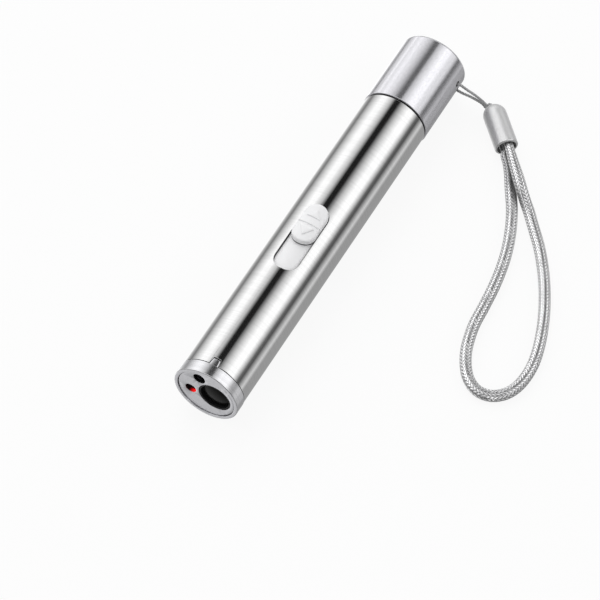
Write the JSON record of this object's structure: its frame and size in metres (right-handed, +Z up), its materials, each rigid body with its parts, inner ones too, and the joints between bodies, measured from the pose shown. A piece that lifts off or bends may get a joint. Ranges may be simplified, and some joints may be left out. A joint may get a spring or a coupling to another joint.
{
  "type": "cat laser pointer",
  "caption": "Pocket pointer in a steel barrel with laser, torch and ultraviolet lamp, a thumb slide switch, a charging plug under its pull-off cap, and a braided wrist strap.",
  "frame": {"origin": "on the surface that the pointer lies on, below the middle of its length, under the barrel's axis", "axes": "+X along the barrel towards the lamps, +Z up through the slide switch, +Y towards the strap side of the tail cap"},
  "size_m": [0.1066, 0.0668, 0.0172],
  "materials": {
    "barrel_steel": "polished, with fine lines round the barrel",
    "head_aluminium": "turned, with fine rings",
    "face_aluminium": "fine matt",
    "cap_aluminium": "satin anodised",
    "plated_steel": "bright nickel plating",
    "black_plastic": "moulded, fine matt",
    "carrier_plastic": "moulded, fine matt",
    "switch_white": "moulded, satin",
    "tongue_white": "moulded, satin",
    "lens_glass": "polished",
    "lamp_yellow": "phosphor under clear resin",
    "uv_resin": "clear resin, violet tint",
    "module_brass": "turned",
    "contact_gold": "gold flash",
    "board_green": "solder resist",
    "chip_black": "moulded resin",
    "cell_wrap": "shrink sleeve",
    "wire_red": "insulated",
    "string_grey": "waxed twine",
    "ferrule_grey": "satin silver-grey",
    "cord_silver": "round braid with a metallic sheen"
  },
  "bodies": {
    "barrel": {"barrel_tube": "barrel_steel", "head_ring": "head_aluminium", "face_plate": "face_aluminium", "torch_cup": "black_plastic", "torch_lens": "lens_glass", "torch_led": "lamp_yellow", "uv_led": "uv_resin", "laser_barrel": "module_brass", "laser_lens": "lens_glass", "laser_diode": "plated_steel", "lamp_board": "board_green", "carrier": "carrier_plastic", "main_board": "board_green", "board_chips": "chip_black", "board_screws": "plated_steel", "switch_housing": "plated_steel", "switch_contacts": "contact_gold", "cell": "cell_wrap", "cell_tabs": "plated_steel", "lamp_wires": "wire_red", "tail_collar": "black_plastic", "usb_shell": "plated_steel", "usb_tongue": "tongue_white", "usb_contacts": "contact_gold"},
    "switch": {"thumb_button": "switch_white", "slider_plate": "switch_white", "switch_lever": "black_plastic", "switch_wiper": "contact_gold"},
    "cap": {"rear_cap": "cap_aluminium", "lanyard_string": "string_grey", "cord_ferrule": "ferrule_grey", "wrist_cord": "cord_silver"}
  },
  "joints": [
    {"name": "switch_slide", "type": "slide", "parent": "barrel", "child": "switch", "axis": [1, 0, 0], "range_m": [0, 0.0078]},
    {"name": "cap_pull", "type": "slide", "parent": "barrel", "child": "cap", "axis": [-1, 0, 0], "range_m": [0, 0.03]}
  ]
}
